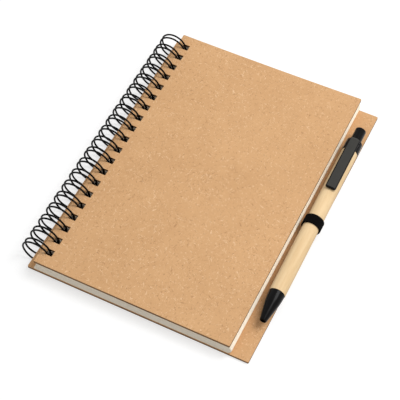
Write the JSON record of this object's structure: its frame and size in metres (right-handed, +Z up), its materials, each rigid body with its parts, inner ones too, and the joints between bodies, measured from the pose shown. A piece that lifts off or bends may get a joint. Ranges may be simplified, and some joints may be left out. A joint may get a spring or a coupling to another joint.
{
  "type": "spiral notebook with pen",
  "caption": "Kraft-card notebook on a double-loop wire binding, with a wide back cover whose strip carries a click pen in an elastic loop.",
  "frame": {"origin": "middle of the whole object's footprint, on the surface that it lies on", "axes": "+Y along the spine towards the head of the page, +X from the spine to the fore-edge, +Z up through the closed book"},
  "size_m": [0.139, 0.1778, 0.0166],
  "materials": {
    "front_card": "matte kraft board with fine fibre flecks",
    "back_card": "matte kraft board with fine fibre flecks",
    "paper": "cream uncoated sheets, edges showing as fine lines",
    "binding_steel": "black coated steel wire, satin",
    "elastic": "black woven elastic, matte",
    "barrel_card": "rolled pale kraft card, matte",
    "pen_plastic": "black moulded plastic, satin",
    "inner_plastic": "natural moulded plastic",
    "ink_tube": "thin plastic tube with ink",
    "point_metal": "turned brass",
    "spring_steel": "drawn steel wire"
  },
  "bodies": {
    "book": {"back_cover": "back_card", "page_block": "paper", "binding_wire": "binding_steel", "pen_loop": "elastic", "pen_barrel": "barrel_card", "pen_nose": "pen_plastic", "pen_clip": "pen_plastic", "pen_spring": "spring_steel"},
    "cover": {"front_cover": "front_card"},
    "plunger": {"pen_button": "pen_plastic", "pen_rotor": "inner_plastic", "pen_refill": "ink_tube", "pen_point": "point_metal"}
  },
  "joints": [
    {"name": "cover_open", "type": "hinge", "parent": "book", "child": "cover", "pos_m": [-0.0612, 0, 0.0083], "axis": [0, -1, 0], "range_deg": [0, 180]},
    {"name": "pen_click", "type": "slide", "parent": "book", "child": "plunger", "axis": [0.0113, -0.9999, 0], "range_m": [0, 0.005], "stiffness_N_per_m": 400, "deforming": ["pen_spring"]}
  ]
}
